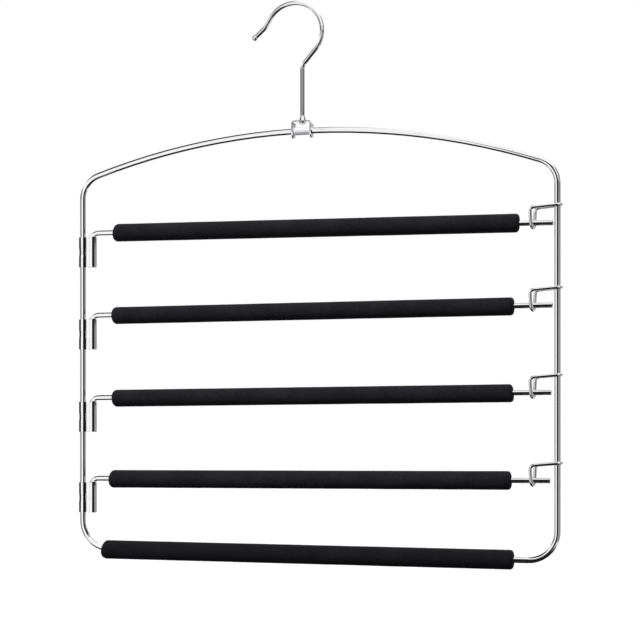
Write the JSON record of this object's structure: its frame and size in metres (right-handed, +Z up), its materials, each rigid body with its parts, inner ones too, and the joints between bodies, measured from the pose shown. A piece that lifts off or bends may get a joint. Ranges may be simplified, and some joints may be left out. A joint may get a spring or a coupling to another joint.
{
  "type": "multi tier trouser hanger",
  "caption": "Bent wire hanger on a swivelling rail hook, with foam covered arms that lift out of their catches and swing clear to take trousers, over a fixed padded bottom bar.",
  "frame": {"origin": "the point inside the hook where a closet rail bears, straight above the swivel axis", "axes": "+Z up, +X from the pivot side towards the catches, +Y away from the front"},
  "size_m": [0.3912, 0.015, 0.4413],
  "materials": {
    "frame_chrome": "polished",
    "hook_chrome": "polished",
    "sheet_chrome": "polished",
    "arm_chrome": "polished",
    "catch_chrome": "polished",
    "black_foam": "matte",
    "pale_liner": "satin"
  },
  "bodies": {
    "frame": {"frame_wire": "frame_chrome", "hook_saddle": "sheet_chrome", "wire_liner": "pale_liner", "bottom_foam": "black_foam", "catch_1": "catch_chrome", "catch_2": "catch_chrome", "catch_3": "catch_chrome", "catch_4": "catch_chrome"},
    "hook": {"hook": "hook_chrome"},
    "pivot_1": {"pivot_sleeve_1": "sheet_chrome"},
    "arm_1": {"arm_1_rod": "arm_chrome", "arm_1_foam": "black_foam"},
    "pivot_2": {"pivot_sleeve_2": "sheet_chrome"},
    "arm_2": {"arm_2_rod": "arm_chrome", "arm_2_foam": "black_foam"},
    "pivot_3": {"pivot_sleeve_3": "sheet_chrome"},
    "arm_3": {"arm_3_rod": "arm_chrome", "arm_3_foam": "black_foam"},
    "pivot_4": {"pivot_sleeve_4": "sheet_chrome"},
    "arm_4": {"arm_4_rod": "arm_chrome", "arm_4_foam": "black_foam"}
  },
  "joints": [
    {"name": "hook_swivel", "type": "hinge", "parent": "frame", "child": "hook", "pos_m": [0, 0, -0.09042], "axis": [0, 0, 1], "continuous": true},
    {"name": "arm_1_swing", "type": "hinge", "parent": "frame", "child": "pivot_1", "pos_m": [-0.1848, 0, -0.18858], "axis": [0, 0, -1], "range_deg": [-180, 180]},
    {"name": "arm_1_lift", "type": "hinge", "parent": "pivot_1", "child": "arm_1", "pos_m": [-0.1775, 0, -0.17643], "axis": [0, -1, 0], "range_deg": [0, 3.5]},
    {"name": "arm_2_swing", "type": "hinge", "parent": "frame", "child": "pivot_2", "pos_m": [-0.1848, 0, -0.25513], "axis": [0, 0, -1], "range_deg": [-180, 180]},
    {"name": "arm_2_lift", "type": "hinge", "parent": "pivot_2", "child": "arm_2", "pos_m": [-0.1775, 0, -0.24298], "axis": [0, -1, 0], "range_deg": [0, 3.5]},
    {"name": "arm_3_swing", "type": "hinge", "parent": "frame", "child": "pivot_3", "pos_m": [-0.1848, 0, -0.32183], "axis": [0, 0, -1], "range_deg": [-180, 180]},
    {"name": "arm_3_lift", "type": "hinge", "parent": "pivot_3", "child": "arm_3", "pos_m": [-0.1775, 0, -0.30968], "axis": [0, -1, 0], "range_deg": [0, 3.5]},
    {"name": "arm_4_swing", "type": "hinge", "parent": "frame", "child": "pivot_4", "pos_m": [-0.1848, 0, -0.38703], "axis": [0, 0, -1], "range_deg": [-180, 180]},
    {"name": "arm_4_lift", "type": "hinge", "parent": "pivot_4", "child": "arm_4", "pos_m": [-0.1775, 0, -0.37488], "axis": [0, -1, 0], "range_deg": [0, 3.5]}
  ]
}
